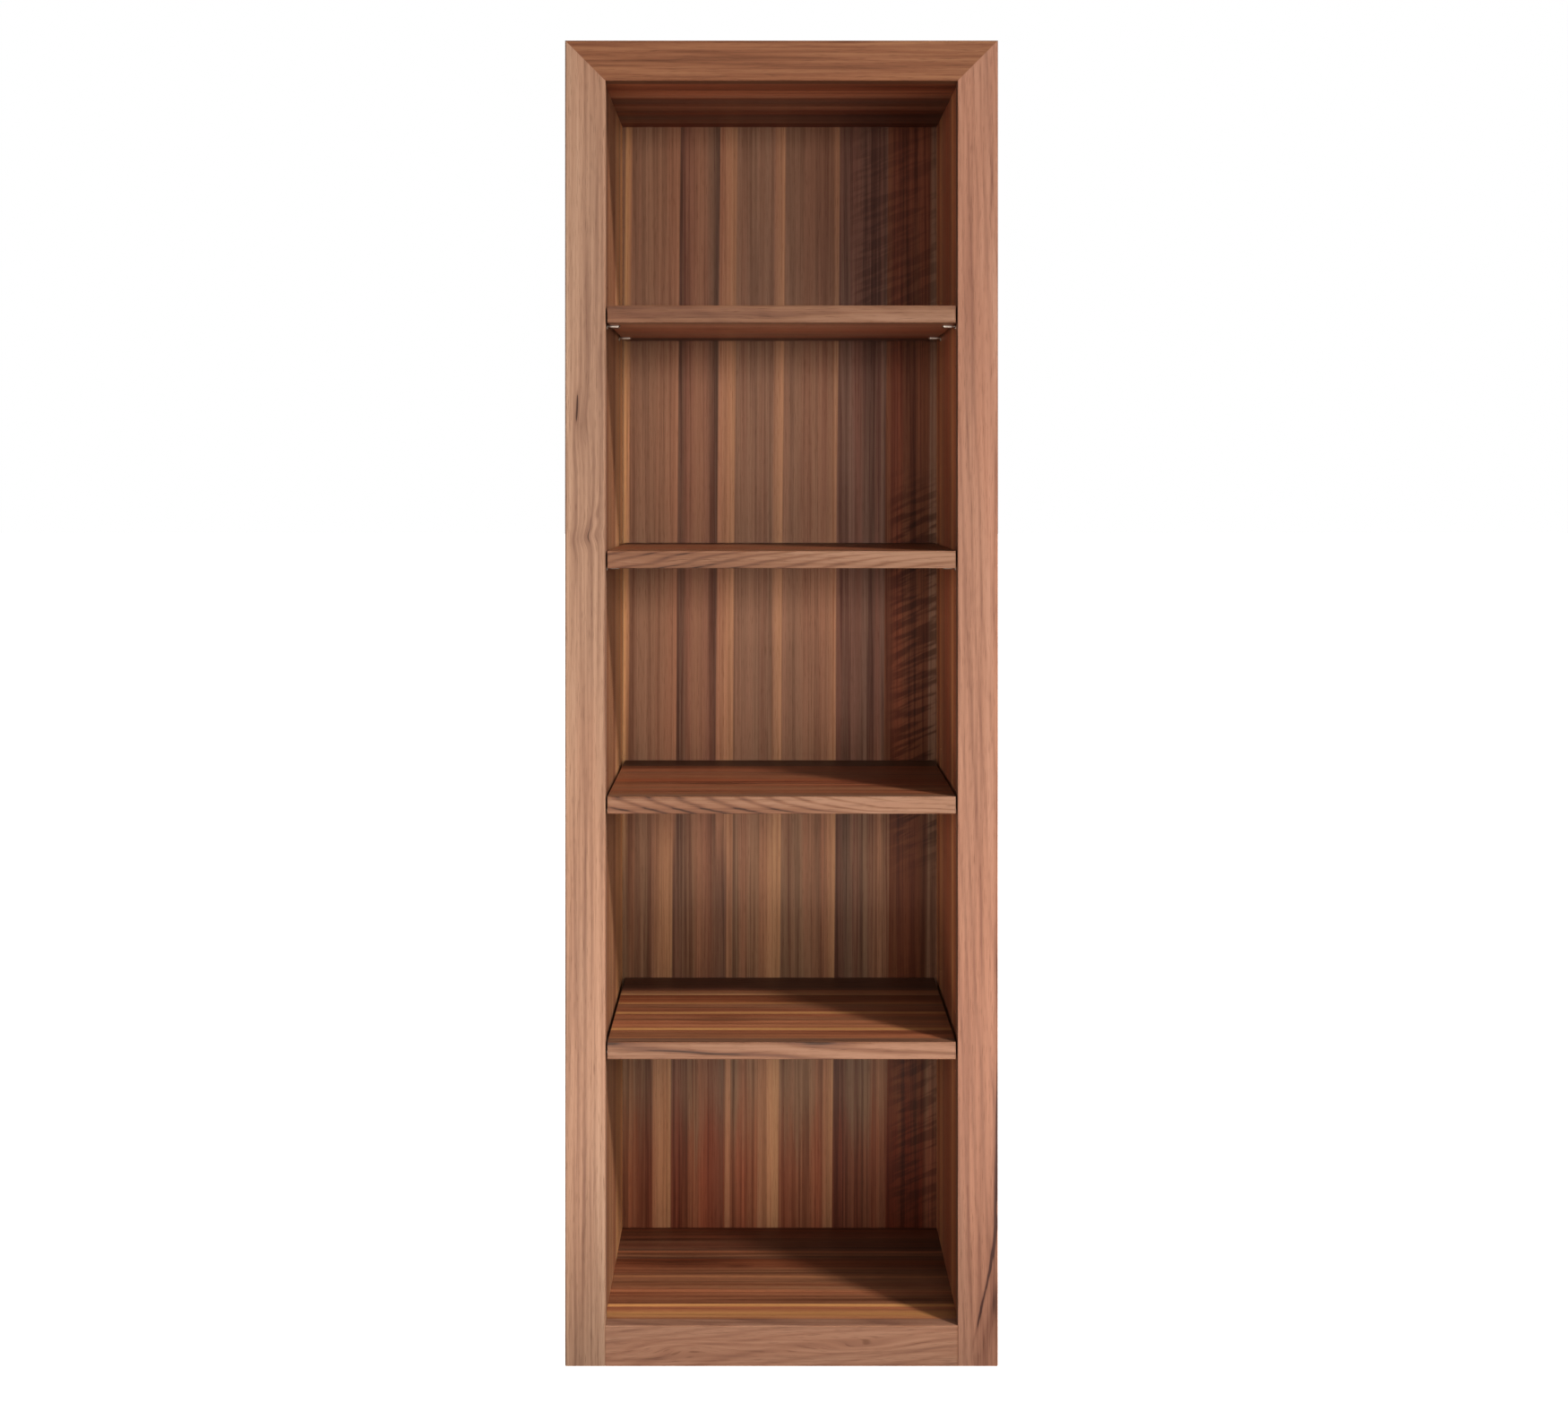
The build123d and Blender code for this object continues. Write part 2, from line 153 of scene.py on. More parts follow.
def finish_wood(material, colour, pores, lines, gloss, relief):
    """Oil finish: darker and duller in the pores, with the pores and ring lines felt as relief."""
    shader = material.node_tree.nodes["Principled BSDF"]
    tree = material.node_tree
    roughness = gloss + pores * oil_pore_dulling - lines * oil_line_gloss
    height = 1 - pores - lines * 0.35
    bump = height.node(
        "ShaderNodeBump", {}, {"Strength": relief, "Distance": oil_relief_depth, "Height": height}
    )
    shader.inputs["Specular IOR Level"].default_value = oil_specular
    tree.links.new(colour.socket, shader.inputs["Base Color"])
    tree.links.new(roughness.socket, shader.inputs["Roughness"])
    tree.links.new(bump.socket, shader.inputs["Normal"])
    return material


def dress(node, material):
    """Gives a CAD node its finish on every face."""
    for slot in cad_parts[node].material_slots:
        slot.material = material


mark_depth = 0.012
ring_wander = 0.026
solid_wear_and_shade_reach = 0.0035


def solid_walnut(
    node, grain, across, pith, tilt, ring, tones, seed, marks=(), slope=0.0, figure=(0.4, 0.2, 0.34),
):
    """Dresses a node in walnut cut from rings round a pith line that leans a little.

    A mark has its place along and over the board, half its length and width, its lean, how much
    darker it is (below 0 is paler), and how far it pulls the grain. It fades behind the front
    face. The figure is how strong the bands, the ring lines and the fibres are.
    """
    material, along, over, through, axes = start_wood(f"walnut_{node}", grain, across)
    mark_dark = None
    front_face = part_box(node)[0][1]
    shallow = 1 - through.rise(front_face, front_face + mark_depth)
    for mark_along, mark_over, half_length, half_width, lean, darkness, pull in marks:
        ahead = (along - mark_along) / half_length
        beside = (over - mark_over - (along - mark_along) * lean) / half_width
        near = ahead.math("EXPONENT", (ahead * ahead + beside * beside) * -1) * shallow
        over = over + near * pull
        mark_dark = near * darkness if mark_dark is None else mark_dark + near * darkness
    over = over - along * slope
    cut = along.node("ShaderNodeCombineXYZ", {}, {0: along, 1: over, 2: through})
    wander = cut.cloud((2.6, 13, 13), (seed, seed * 2.3, 0), 3) - 0.5
    sideways = over - pith[0] + wander * ring_wander
    below = through - pith[1] + along * tilt
    radius = (sideways * sideways + below * below) ** 0.5
    wave = radius * (2 * math.pi / ring) + cut.cloud((1.7, 60, 60), (seed, 0, 3)) * 4
    lines = (wave.math("SINE", wave) * 0.5 + 0.5) ** 3.0
    bands = cut.cloud((0.8, 38, 38), (seed * 1.7, 0, seed), 3)
    fibres = cut.cloud((2.6, 185, 185), (0, seed, 0), 3)
    pores = cut.cloud((36, 1150, 1150), (seed, 0, 0), 1).rise(0.56, 0.74)
    shade = (bands.rise(0.28, 0.72) - 0.5) * figure[0] + (lines - 0.31) * figure[1] + 0.5
    shade = shade + (fibres.rise(0.3, 0.7) - 0.5) * figure[2]
    if mark_dark is not None:
        shade = shade + mark_dark
    stops = [(0.12, tones[0]), (0.5, tones[1]), (0.9, tones[2]), (1, tones[3])]
    colour = shade.node("ShaderNodeValToRGB", {"stops": stops}, {0: shade})
    blush = cut.cloud((1.3, 16, 16), (0, 0, seed * 3.1)).rise(0.4, 0.62)
    colour = colour.mix(blush * 0.5, (1.0, 0.9, 0.86, 1), "MULTIPLY")
    colour = colour.mix(pores * 0.42, (0.36, 0.27, 0.22, 1), "MULTIPLY")
    # Edges darker and a little glossier: worn finish, with painted shade on the rounded edge
    wear_and_edge_shade = edge_closeness(axes, node, solid_wear_and_shade_reach)
    wear_and_edge_shade = wear_and_edge_shade * cut.cloud((9, 9, 9), (seed, 0, 0)).rise(0.3, 0.6)
    colour = colour.mix(wear_and_edge_shade * 0.45, (0.8, 0.62, 0.5, 1), "MULTIPLY")
    dress(node, finish_wood(material, colour, pores, lines, gloss=0.46 - wear_and_edge_shade * 0.1, relief=0.22))


tan_walnut = ((0.318, 0.217, 0.156), (0.267, 0.171, 0.119), (0.173, 0.101, 0.07), (0.062, 0.033, 0.024))
solid_walnut(
    "left_stile", "Z", "X", pith=(-0.47, 0.09), tilt=0.012, ring=0.0064, tones=tan_walnut, seed=3.0,
    marks=(
        (1.545, -0.3285, 0.03, 0.0022, 0.04, 0.5, -0.004),
        (1.515, -0.321, 0.045, 0.012, 0.12, 0.14, 0.006),
        (1.335, -0.313, 0.016, 0.022, 0.5, 0.16, 0.007),
        (1.372, -0.298, 0.024, 0.008, 0.6, 0.14, 0.003),
        (1.62, -0.29, 0.07, 0.01, 0.1, 0.12, 0.002),
        # This broad mark darkens the stile towards the bottom, a painted shade
        (0.75, -0.316, 0.35, 0.1, 0.0, 0.14, 0.0),
    ),
    figure=(0.4, 0.1, 0.36),
)


# ---- Face frame: right stile ----
# The right post, same section and joints as the left, from a pinker plank whose cathedral
# figure sweeps off its outer edge near the floor as a few dark curved lines.

pink_walnut = ((0.309, 0.186, 0.134), (0.26, 0.147, 0.102), (0.167, 0.087, 0.061), (0.065, 0.033, 0.027))
solid_walnut(
    "right_stile", "Z", "X", pith=(0.43, 0.02), tilt=0.035, ring=0.0085, tones=pink_walnut, seed=8.0,
    marks=(
        (0.1, 0.323, 0.06, 0.0022, 0.22, 0.5, 0.0),
        (0.2, 0.342, 0.06, 0.0024, 0.16, 0.42, 0.0),
        (0.08, 0.338, 0.11, 0.009, 0.22, 0.24, 0.0),
        (0.42, 0.3475, 0.2, 0.0025, 0.02, 0.36, 0.0),
        (0.3, 0.347, 0.16, 0.0035, 0.04, 0.22, 0.0),
        (0.7, 0.346, 0.2, 0.0035, 0.01, 0.22, 0.0),
        (1.35, 0.343, 0.22, 0.003, 0.02, 0.24, 0.0),
        (1.9, 0.338, 0.1, 0.003, 0.06, 0.2, 0.0),
        # This broad mark darkens the stile near the floor, a painted shade
        (0.3, 0.316, 0.5, 0.1, 0.0, 0.16, 0.0),
    ),
    figure=(0.26, 0.16, 0.24),
)


# ---- Face frame: top rail ----
# The head of the face frame, mitred at 45 degrees into both stiles with a spline across
# each joint. Its grain runs level, in a browner board than the stiles.

brown_walnut = ((0.216, 0.109, 0.059), (0.169, 0.077, 0.041), (0.109, 0.046, 0.025), (0.049, 0.021, 0.013))
solid_walnut(
    "top_rail", "X", "Z", pith=(2.2, 0.06), tilt=0.02, ring=0.0062, tones=brown_walnut, seed=12.0,
    marks=((0.11, 2.1315, 0.04, 0.0022, 0.005, 0.5, 0.0), (0.22, 2.1, 0.22, 0.1, 0.0, -0.14, 0.0)),
    figure=(0.22, 0.14, 0.42),
)


# ---- Face frame: bottom rail ----
# The plinth rail between the stiles, butted and dowelled. It is flat-sawn, so its rings
# show as long pointed arches with dusky lines.

dusky_walnut = ((0.293, 0.18, 0.125), (0.239, 0.136, 0.092), (0.167, 0.092, 0.067), (0.083, 0.049, 0.036))
solid_walnut(
    "bottom_rail", "X", "Z", pith=(-0.02, -0.12), tilt=0.11, ring=0.011, tones=dusky_walnut, seed=21.0,
    marks=(
        # This first mark pales the rail's top edge and the front of its top face, a painted highlight
        (0, 0.067, 6, 0.003, 0, -0.35, 0),
        (0.13, 0.03, 0.09, 0.012, 0.06, 0.02, 0.014),
        (-0.16, 0.03, 0.07, 0.012, -0.04, -0.05, -0.012),
    ),
    slope=0.03, figure=(0.34, 0.22, 0.3),
)


# ---- Case sides ----
# Each side is a hollow sandwich: an inner and an outer board of 18 mm veneered panel. The
# veneer is laid in strips of differing tone, some with a pale sapwood edge, grain upright.


strip_drift = 0.006
joint_share = 0.0012
veneer_wear_and_shade_reach = 0.0025


def strip_veneer(
    node, grain, across, strips, seed, curls=(), flush=None, marks=(), later=None, lean=0.0,
):
    """Dresses a node in strips of veneer: each has a start, a tone there and one at its end.

    Later strips take over along the panel, from one place to another. A mark has its place along
    and over the panel, half its length and width, how dark it is, and how far it pulls the grain.
    A curl has its sides, bottom, top and depth. A flush reddens the wood: it is whole up to the
    first height, gone from the second, and has a strength.
    """
    material, along, over, _, axes = start_wood(f"veneer_{node}", grain, across)
    low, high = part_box(node)
    start = low["XYZ".index(across)]
    width = high["XYZ".index(across)] - start
    bend = along.node("ShaderNodeCombineXYZ", {}, {0: along, 1: over, 2: seed})
    drift = bend.cloud((1.1, 2, 1), (seed, 0, 0), 1) - 0.5
    laid = (over - start + drift * strip_drift - (along - 1) * lean) / width

    def tone_stops(laid_strips):
        ends = [strip[0] for strip in laid_strips[1:]] + [start + width]
        stops = []
        for (begin, first, last), end in zip(laid_strips, ends):
            stops.append(((begin - start) / width, first))
            stops.append(((end - start) / width - joint_share, last))
        return stops

    leaf_numbers = [(begin, (count * 0.618 % 1,) * 3) for count, (begin, _, _) in enumerate(strips)]
    numbered = tuple((begin, number, number) for begin, number in leaf_numbers)
    colour = laid.node("ShaderNodeValToRGB", {"stops": tone_stops(strips)}, {0: laid})
    if later is not None:
        later_strips, later_from, later_to = later
        other = laid.node("ShaderNodeValToRGB", {"stops": tone_stops(later_strips)}, {0: laid})
        colour = colour.mix((along + drift * 0.5).rise(later_from, later_to), other)
    strip = laid.node("ShaderNodeValToRGB", {"stops": tone_stops(numbered)}, {0: laid})
    pale = colour.node("ShaderNodeSeparateColor", {}, {0: colour}, output=1).rise(0.12, 0.2)
    mark_dark = None
    for mark_along, mark_over, half_length, half_width, darkness, pull in marks:
        ahead = (along - mark_along) / half_length
        beside = (over - mark_over) / half_width
        near = ahead.math("EXPONENT", (ahead * ahead + beside * beside) * -1)
        over = over + near * pull
        mark_dark = near * darkness if mark_dark is None else mark_dark + near * darkness
    leaf = along.node("ShaderNodeCombineXYZ", {}, {0: along, 1: over, 2: strip * 40 + seed})
    bands = leaf.cloud((0.7, 50, 1), (0, 0, 0), 3).rise(0.34, 0.66)
    lines = leaf.cloud((1.3, 150, 1), (0, 0, 7), 2).rise(0.46, 0.6)
    fibres = leaf.cloud((7, 480, 1), (0, 0, 3), 1).rise(0.34, 0.66)
    pores = leaf.cloud((38, 1300, 1), (0, 0, 9), 1).rise(0.55, 0.75)
    hue = leaf.cloud((0.9, 34, 1), (0, 0, 5), 1).rise(0.38, 0.64)
    hue = hue * (1 - pale * 0.7)
    colour = colour.mix(hue * 0.6, (1.08, 0.86, 0.82, 1), "MULTIPLY")
    colour = colour.mix((1 - hue) * 0.4, (0.92, 1.03, 1.02, 1), "MULTIPLY")
    dark = (bands * 0.36 + lines * 0.5 + fibres * 0.22) * (1 - pale * 0.4)
    colour = colour.mix(dark, (0.42, 0.33, 0.3, 1), "MULTIPLY")
    colour = colour.mix(pores * 0.4, (0.4, 0.3, 0.25, 1), "MULTIPLY")
    if mark_dark is not None:
        colour = colour.mix(mark_dark, (0.2, 0.12, 0.09, 1), "MULTIPLY")
    for curl_low, curl_high, curl_bottom, curl_top, depth in curls:
        reach = over.rise(curl_low - 0.01, curl_low + 0.02) * (1 - over.rise(curl_high, curl_high + 0.02))
        reach = reach * along.rise(curl_bottom - 0.08, curl_bottom + 0.06)
        reach = reach * (1 - along.rise(curl_top - 0.06, curl_top + 0.08))
        slant = along.node("ShaderNodeCombineXYZ", {}, {0: along - over * 0.42, 1: over, 2: seed})
        ripple = slant.cloud((78, 13, 1), (0, 0, 1), 2).rise(0.42, 0.58) * reach * depth
        colour = colour.mix(ripple, (0.34, 0.26, 0.22, 1), "MULTIPLY")
    if flush is not None:
        flame = leaf.cloud((5, 70, 1), (0, 0, 2), 2) * 0.22
        reddened = 1 - (along - flame).rise(flush[0], flush[1])
        reddened = reddened * (1 - pale * 0.85) * flush[2]
        colour = colour.mix(reddened, (1.05, 0.62, 0.5, 1), "MULTIPLY")
    # Panel edges darker: worn finish, with painted shade where the panel meets the next part
    wear_and_edge_shade = edge_closeness(axes, node, veneer_wear_and_shade_reach)
    colour = colour.mix(wear_and_edge_shade * 0.35, (0.7, 0.55, 0.45, 1), "MULTIPLY")
    dress(node, finish_wood(material, colour, pores, lines, gloss=0.44 - wear_and_edge_shade * 0.06, relief=0.16))


def toned(strips, shares):
    """The same strips with every tone's red, green and blue taken to these shares."""
    return tuple(
        (start, *(tuple(map(math.prod, zip(tone, shares))) for tone in tones))
        for start, *tones in strips
    )


russet = (0.274, 0.106, 0.05)
chestnut = (0.272, 0.129, 0.069)
umber = (0.239, 0.121, 0.068)
mocha = (0.137, 0.072, 0.044)
plum = (0.161, 0.079, 0.048)
amber = (0.407, 0.225, 0.097)
honey = (0.542, 0.301, 0.131)
fawn = (0.349, 0.2, 0.106)
caramel = (0.34, 0.157, 0.083)
tawny = (0.4, 0.2, 0.1)
sable = (0.2, 0.098, 0.06)
maroon = (0.166, 0.055, 0.023)

left_inner_strips = (
    (-0.156, umber, chestnut),
    (-0.131, umber, fawn),
    (-0.06, plum, umber),
    (-0.052, fawn, chestnut),
    (0.022, fawn, amber),
    (0.07, amber, fawn),
    (0.12, honey, honey),
)
left_inner_low = toned(left_inner_strips, (1.1, 1.08, 1.16))
# The upper copy's rear strips are toned lighter, painted light at the back of the upper bays, where the
# shelves' shade falls
left_inner_high = (
    *toned(left_inner_strips[:4], (1.1, 1.06, 1.14)),
    *toned(left_inner_strips[4:], (1.4, 1.42, 1.62)),
)
strip_veneer(
    "left_inner_side", "Z", "Y", left_inner_low, seed=2.0, later=(left_inner_high, 0.55, 0.95),
)

right_inner_strips = (
    (-0.156, russet, chestnut),
    (-0.12, russet, amber),
    (-0.07, chestnut, russet),
    (-0.02, russet, chestnut),
    (0.05, chestnut, amber),
    (0.11, russet, chestnut),
    (0.147, honey, honey),
    (0.157, fawn, fawn),
)
# These tones are raised well above the left wall's, painted light on the wall that the key leaves in
# shade; the upper copy is lighter still, painted light for the upper bays
right_inner_low = toned(right_inner_strips, (1.62, 1.55, 1.65))
right_inner_high = (*toned(right_inner_strips[:6], (2.0, 1.92, 2.1)), *right_inner_low[6:])
strip_veneer(
    "right_inner_side", "Z", "Y", right_inner_low, seed=5.0, later=(right_inner_high, 0.55, 0.95),
)

outer_side_strips = (
    (-0.156, caramel, chestnut),
    (-0.09, umber, chestnut),
    (-0.03, chestnut, tawny),
    (0.025, plum, umber),
    (0.085, chestnut, fawn),
    (0.13, umber, chestnut),
)
outer_curl = (-0.02, 0.03, 0.9, 1.4, 0.3)
for hand, seed in (("left", 11.0), ("right", 14.0)):
    strip_veneer(f"{hand}_outer_side", "Z", "Y", outer_side_strips, seed, curls=(outer_curl,))


# ---- Case top, soffit and deck ----
# The top is another hollow sandwich, mitred to the sides. Under it the soffit closes the
# top bay, and the deck is the fixed floor of the lowest bay. Their grain runs left to right.

outer_top_strips = (
    (-0.156, chestnut, umber),
    (-0.08, fawn, chestnut),
    (-0.01, umber, plum),
    (0.06, chestnut, chestnut),
    (0.12, amber, umber),
)
strip_veneer("outer_top", "X", "Y", outer_top_strips, seed=17.0)

soffit_strips = (
    (-0.156, russet, maroon),
    (-0.135, maroon, russet),
    (-0.1, russet, umber),
    (-0.06, maroon, mocha),
    (-0.032, mocha, maroon),
    (0.0, umber, maroon),
    (0.045, maroon, mocha),
    (0.085, mocha, umber),
    (0.13, maroon, maroon),
)
# The soffit's tones are raised well above the other panels', painted light that stands for light bounced
# up from the floor
strip_veneer(
    "soffit", "X", "Y", toned(soffit_strips, (1.6, 1.6, 1.75)), seed=19.0,
    # The mark darkens the soffit's right end, a painted shade
    marks=((0.29, 0.0, 0.16, 0.3, 0.36, 0.0),),
)

deck_strips = (
    (-0.156, caramel, amber),
    (-0.141, amber, caramel),
    (-0.126, caramel, caramel),
    (-0.118, honey, honey),
    (-0.1095, umber, chestnut),
    (-0.07, caramel, umber),
    (-0.05, chestnut, umber),
    (-0.02, tawny, chestnut),
    (-0.012, umber, maroon),
    (0.045, plum, chestnut),
    (0.068, caramel, caramel),
    # The rearmost strip is dark, partly its own tone and partly painted shade under the shelf above
    (0.074, mocha, maroon),
)
strip_veneer(
    "deck", "X", "Y", deck_strips, seed=23.0,
    marks=((-0.17, 0.035, 0.09, 0.022, 0.4, 0.006), (-0.075, 0.02, 0.02, 0.006, 0.4, 0.0)),
)


# ---- Back panel ----
# One 8 mm veneered panel behind everything, seen in every bay. Narrow pale strips stand
# between broad brown ones, with a dark red strip and curly figure at the right. The strips
# change a little with height, and the wood is redder near the floor.

back_low_strips = (
    (-0.3305, umber, umber),
    (-0.286, umber, chestnut),
    (-0.262, umber, umber),
    (-0.225, caramel, tawny),
    (-0.193, plum, chestnut),
    (-0.15, chestnut, plum),
    (-0.095, caramel, caramel),
    (-0.0835, umber, chestnut),
    (-0.034, caramel, tawny),
    (0.0035, umber, chestnut),
    (0.085, caramel, tawny),
    (0.1025, plum, umber),
    (0.172, chestnut, chestnut),
    (0.2, maroon, maroon),
    (0.269, umber, umber),
)
back_high_strips = (
    (-0.3305, umber, umber),
    (-0.286, honey, tawny),
    (-0.2745, umber, chestnut),
    (-0.2, chestnut, caramel),
    (-0.186, plum, chestnut),
    (-0.15, chestnut, mocha),
    (-0.114, caramel, tawny),
    (-0.0835, umber, umber),
    (-0.014, chestnut, tawny),
    (0.0035, umber, chestnut),
    (0.088, chestnut, tawny),
    (0.1025, sable, plum),
    (0.191, maroon, maroon),
    (0.269, umber, umber),
)
# The lower strips are toned darker than the upper ones, a painted shade in the lower bays
strip_veneer(
    "back_panel", "Z", "X", toned(back_low_strips, (0.98, 1.14, 1.23)), seed=29.0,
    curls=((0.2, 0.3, 0.75, 1.4, 0.7), (0.2, 0.3, 0.1, 0.5, 0.55), (0.13, 0.3, 1.7, 2.05, 0.35)),
    flush=(0.06, 0.22, 0.8), lean=0.007,
    later=(toned(back_high_strips, (1.38, 1.55, 1.8)), 0.65, 1.0),
    marks=(
        # This mark darkens the top bay, a painted shade under the soffit
        (1.95, -0.1, 0.28, 0.5, 0.23, 0.0),
        # This mark darkens the right of the top bay, partly the plum strip's own tone and partly painted
        # shade beside the right stile
        (1.95, 0.125, 0.28, 0.08, 0.3, 0.0),
        (0.1, 0.2, 0.14, 0.1, 0.4, 0.0),
    ),
)


# ---- Shelves ----
# Four loose shelves, each a veneered panel with its strips running left to right and a
# solid walnut lip glued along the front. The lips come from different offcuts.

shelf_strips = (
    (-0.158, caramel, chestnut),
    (-0.119, honey, amber),
    (-0.108, caramel, caramel),
    (-0.072, chestnut, caramel),
    (-0.038, amber, honey),
    (-0.028, chestnut, umber),
    (0.014, amber, russet),
    (0.028, russet, maroon),
    (0.06, fawn, chestnut),
    # The rearmost strip is dark, a painted shade under the part above
    (0.088, mocha, mocha),
)
plain_shelf_strips = (
    (-0.158, chestnut, chestnut),
    (-0.1, chestnut, russet),
    (-0.03, russet, umber),
    (0.04, chestnut, russet),
    # The rearmost strip is dark, a painted shade under the part above
    (0.1, mocha, mocha),
)
# Each lip: its pith line, tilt, ring spacing, seed, the place of its eye, how much paler it is
# towards its right end, and how strong its ring lines are
shelf_lips = (
    ((0.012, -0.1), 0.05, 0.0056, 31.0, -0.005, -0.1, 0.1),
    ((-0.04, -0.12), 0.11, 0.0064, 34.0, -0.2, -0.4, 0.38),
    ((0.03, -0.13), 0.14, 0.0066, 37.0, 0.16, -0.42, 0.46),
    ((0.012, -0.1), 0.012, 0.0042, 41.0, -0.1, -0.2, 0.6),
)
rosy_walnut = ((0.225, 0.136, 0.092), (0.172, 0.093, 0.057), (0.117, 0.059, 0.038), (0.056, 0.03, 0.02))
shelf_blotches = ((-0.1, -0.065, 0.05, 0.014, 0.36, 0.005), (0.02, 0.03, 0.08, 0.02, 0.3, 0.004))
# Shelf 1 takes the plain strips toned lighter, painted light on its underside
panel_strips = {1: toned(plain_shelf_strips, (1.38, 1.38, 1.6)), 4: shelf_strips}
for number, (pith, tilt, ring, seed, eye, lighter, ringed) in enumerate(shelf_lips, start=1):
    strips = panel_strips.get(number, plain_shelf_strips)
    strip_veneer(f"shelf_{number}_panel", "X", "Y", strips, seed, marks=shelf_blotches)
    lip = f"shelf_{number}_edge"
    middle_height = (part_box(lip)[0][2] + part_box(lip)[1][2]) / 2
    lip_pith = (pith[0] + middle_height, pith[1])
    marks = (
        (eye, middle_height - 0.004, 0.05, 0.006, 0.0, 0.06, 0.004),
        (0.22, middle_height, 0.16, 0.08, 0.0, lighter, 0.0),
        (-0.16, middle_height, 0.16, 0.08, 0.0, lighter * -0.5, 0.0),
    )
    solid_walnut(
        lip, "X", "Z", lip_pith, tilt, ring, rosy_walnut, seed, marks, figure=(0.34, ringed, 0.34),
    )


# ---- Joinery inside the case ----
# Battens, tongues, splines and dowels that hold the sandwich together. They are poplar and
# beech, unfinished, and are only seen when the case is taken apart or from underneath.


def bare_wood(name, grain, across):
    """Unfinished pale wood with a soft straight grain."""
    material, along, over, through, _ = start_wood(name, grain, across)
    cut = along.node("ShaderNodeCombineXYZ", {}, {0: along, 1: over, 2: through})
    lines = cut.cloud((1.5, 140, 140), (4, 0, 0), 3).rise(0.35, 0.7)
    pores = cut.cloud((30, 900, 900), (0, 2, 0), 1).rise(0.58, 0.75)
    stops = [(0, (0.62, 0.47, 0.31)), (0.6, (0.52, 0.37, 0.23)), (1, (0.4, 0.26, 0.15))]
    colour = lines.node("ShaderNodeValToRGB", {"stops": stops}, {0: lines})
    return finish_wood(material, colour, pores, lines, gloss=0.68, relief=0.2)


upright_core = bare_wood("bare_wood_upright", "Z", "X")
level_core = bare_wood("bare_wood_level", "X", "Z")
for node in (
    "left_side_battens", "right_side_battens", "left_stile_tongues", "right_stile_tongues",
):
    dress(node, upright_core)
for node in (
    "top_battens", "top_rail_tongue", "bottom_rail_tongue", "mitre_splines",
    "bottom_rail_dowels", "case_dowels", "base_rear_rail", "base_bearers",
):
    dress(node, level_core)


# ---- Shelf pins ----
# Sixteen nickel-plated spoon pins, four to a shelf: a turned shank in the wall, a collar
# against the wall, and a half-round spoon whose flat top carries the shelf.

pin_shank_radius = 0.00245
pin_shank_length = 0.01
pin_collar_radius = 0.004
pin_collar_thickness = 0.0015
pin_spoon_radius = 0.0045
pin_spoon_reach = 0.0225
pin_drop = 0.0026
pin_neck_length = 0.0065
pin_neck_radius = 0.0028
pin_neck_overlap = 0.0002
pin_nose_share = 0.995
pin_flat_below = 0.00002


class Fitting:
    """A geometry tree with named size inputs that makes one kind of fitting."""

    def __init__(self, name, sizes, takes=None):
        self.tree = bpy.data.node_groups.new(name, "GeometryNodeTree")
        self.sizes = {}
        if takes:
            made = self.tree.interface.new_socket(takes, in_out="INPUT", socket_type="NodeSocketObject")
            self.sizes[takes] = made.identifier
        for size in sizes:
            made = self.tree.interface.new_socket(size, in_out="INPUT", socket_type="NodeSocketFloat")
            self.sizes[size] = made.identifier
        self.tree.interface.new_socket("Geometry", in_out="OUTPUT", socket_type="NodeSocketGeometry")
        given = self.tree.nodes.new("NodeGroupInput")
        self.given = {size: Wire(self.tree, given.outputs[size]) for size in self.sizes}

    def node(self, kind, settings, sockets, output=0):
        return Wire(self.tree).node(kind, settings, sockets, output)

    def place(self, x=0.0, y=0.0, z=0.0):
        return self.node("ShaderNodeCombineXYZ", {}, {0: x, 1: y, 2: z})

    def moved(self, shape, **change):
        return self.node("GeometryNodeTransform", {}, {"Geometry": shape, **change})

    def joined(self, *shapes):
        join = self.tree.nodes.new("GeometryNodeJoinGeometry")
        for shape in shapes:
            self.tree.links.new(shape.socket, join.inputs[0])
        return Wire(self.tree, join.outputs[0])

    def end(self, shape, material):
        """Ends the tree: instances made real, with their finish set."""
        real = self.node("GeometryNodeRealizeInstances", {}, {0: shape})
        finished = self.node("GeometryNodeSetMaterial", {}, {"Geometry": real, "Material": material})
        result = self.tree.nodes.new("NodeGroupOutput")
        self.tree.links.new(finished.socket, result.inputs[0])

    def make(self, name, values):
        """Makes one plain mesh with these sizes."""
        blank = bpy.data.objects.new(name, bpy.data.meshes.new(name))
        bpy.context.scene.collection.objects.link(blank)
        maker = blank.modifiers.new("shape", "NODES")
        maker.node_group = self.tree
        for size, value in values.items():
            maker[self.sizes[size]] = value
        seen = blank.evaluated_get(bpy.context.evaluated_depsgraph_get())
        plain = bpy.data.meshes.new_from_object(seen)
        blank.modifiers.clear()
        blank.data = plain
        plain.name = name
        return blank


